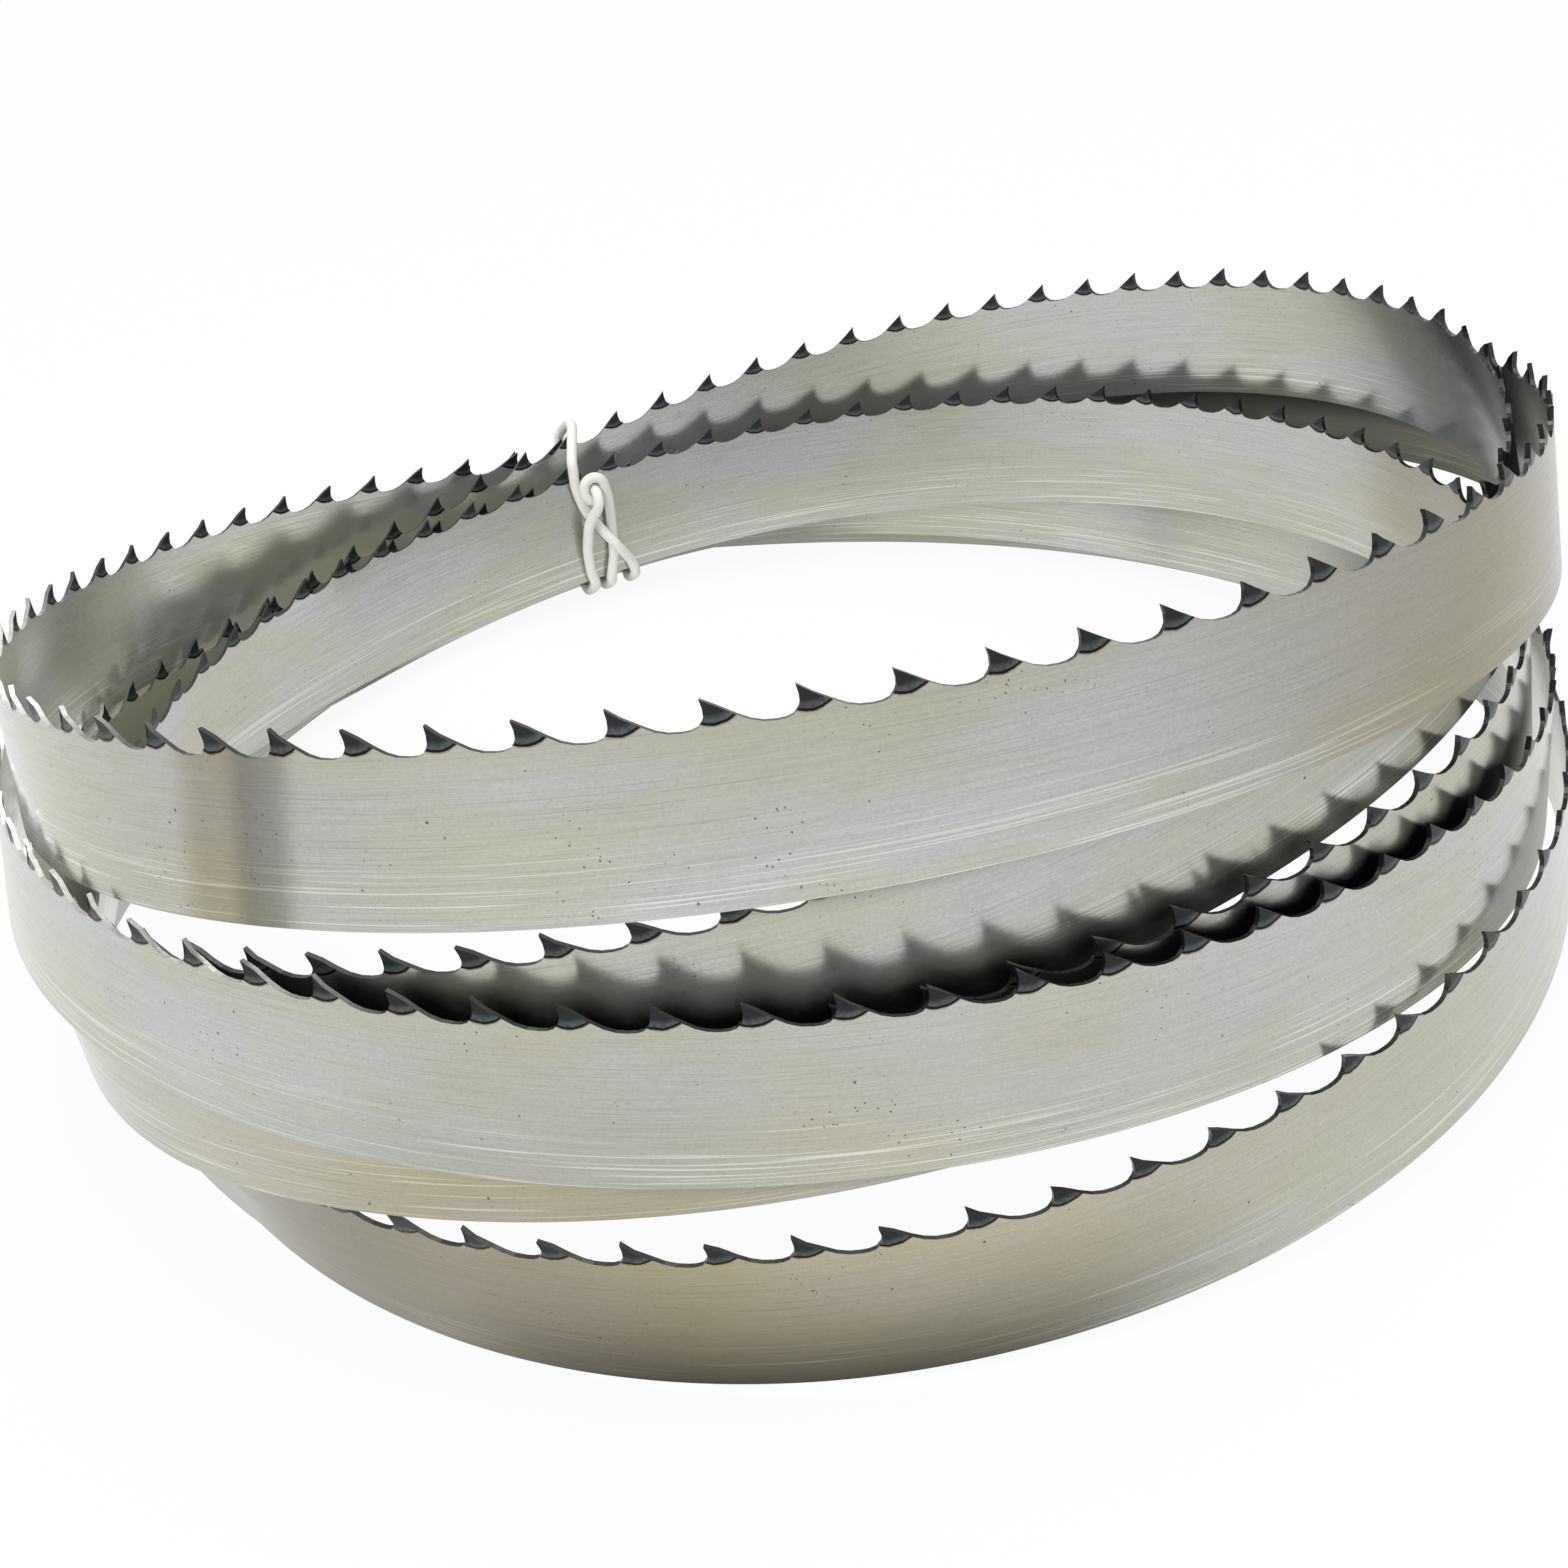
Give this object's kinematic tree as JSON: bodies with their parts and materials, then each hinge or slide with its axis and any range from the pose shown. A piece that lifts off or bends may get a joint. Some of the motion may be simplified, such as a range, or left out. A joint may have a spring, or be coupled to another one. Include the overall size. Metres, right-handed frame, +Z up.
{
  "type": "band saw blade",
  "caption": "Endless toothed steel strip, coiled in open turns that cross each other and lean at different heights, tied together with a white cord at the back.",
  "frame": {"origin": "middle of the coil seen from above, at the height of the surface it stands on", "axes": "+Z up, the way the teeth point; -Y to the front; the tie is at the back, at +Y; +X to the right seen from the front"},
  "size_m": [0.201, 0.2058, 0.0765],
  "materials": {
    "steel": "satin, brushed lengthwise, tooth tips dark",
    "cord": "matt white"
  },
  "bodies": {
    "root": {"blade": "steel", "wire_tie": "cord"}
  },
  "joints": []
}
